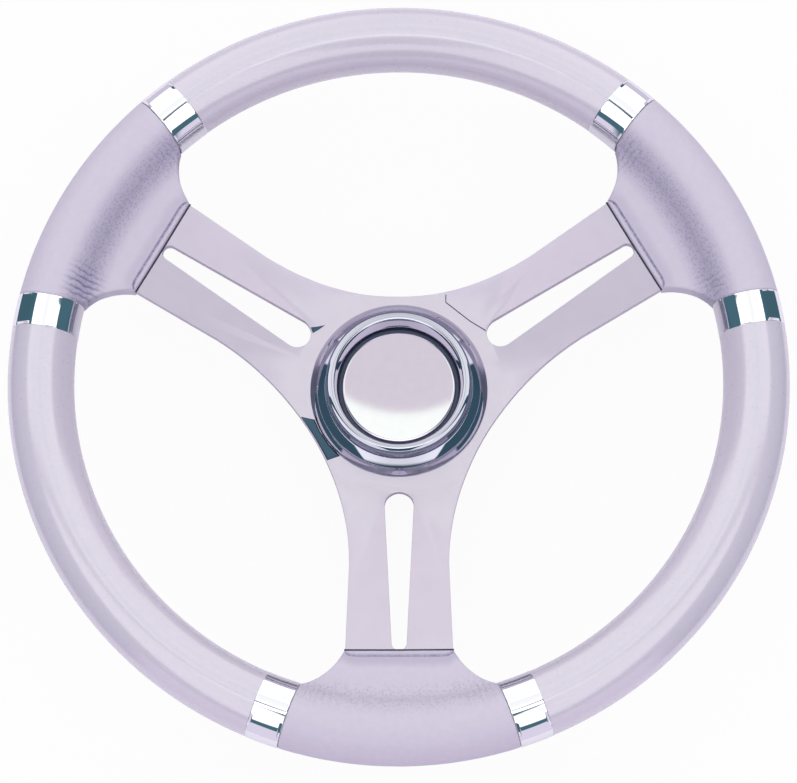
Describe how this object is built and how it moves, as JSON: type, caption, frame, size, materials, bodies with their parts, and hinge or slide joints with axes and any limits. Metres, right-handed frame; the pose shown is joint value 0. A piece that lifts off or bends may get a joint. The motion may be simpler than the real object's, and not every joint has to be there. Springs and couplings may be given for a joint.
{
  "type": "boat steering wheel",
  "caption": "Dished boat steering wheel with slotted flat spokes, a thick round rim with moulded grips and chrome bands, a chrome hub ring and a tapered keyed hub.",
  "frame": {"origin": "centre of the hub's rear face, at the mouth of the tapered bore", "axes": "+Z along the shaft axis towards the driver, +Y towards the top of the wheel with the single spoke pointing along -Y, +X to the driver's right"},
  "size_m": [0.35, 0.35, 0.0825],
  "materials": {
    "spoke_metal": "satin",
    "core_steel": "plain",
    "hub_metal": "satin",
    "screw_steel": "plain",
    "bezel_chrome": "polished",
    "cap_face": "polished",
    "seal_rubber": "matte",
    "rim_skin": "satin gloss",
    "grip_skin": "leather grain",
    "band_chrome": "polished"
  },
  "bodies": {
    "root": {"spoke_plate": "spoke_metal", "rim_core": "core_steel", "hub": "hub_metal", "hub_screws": "screw_steel", "hub_bezel": "bezel_chrome", "centre_cap": "cap_face", "cap_seal": "seal_rubber", "cap_gasket": "seal_rubber", "rim_segment_top": "rim_skin", "rim_segment_lower_left": "rim_skin", "rim_segment_lower_right": "rim_skin", "grip_left": "grip_skin", "grip_right": "grip_skin", "grip_bottom": "grip_skin", "band_left_upper": "band_chrome", "band_left_lower": "band_chrome", "band_right_upper": "band_chrome", "band_right_lower": "band_chrome", "band_bottom_left": "band_chrome", "band_bottom_right": "band_chrome"}
  },
  "joints": []
}
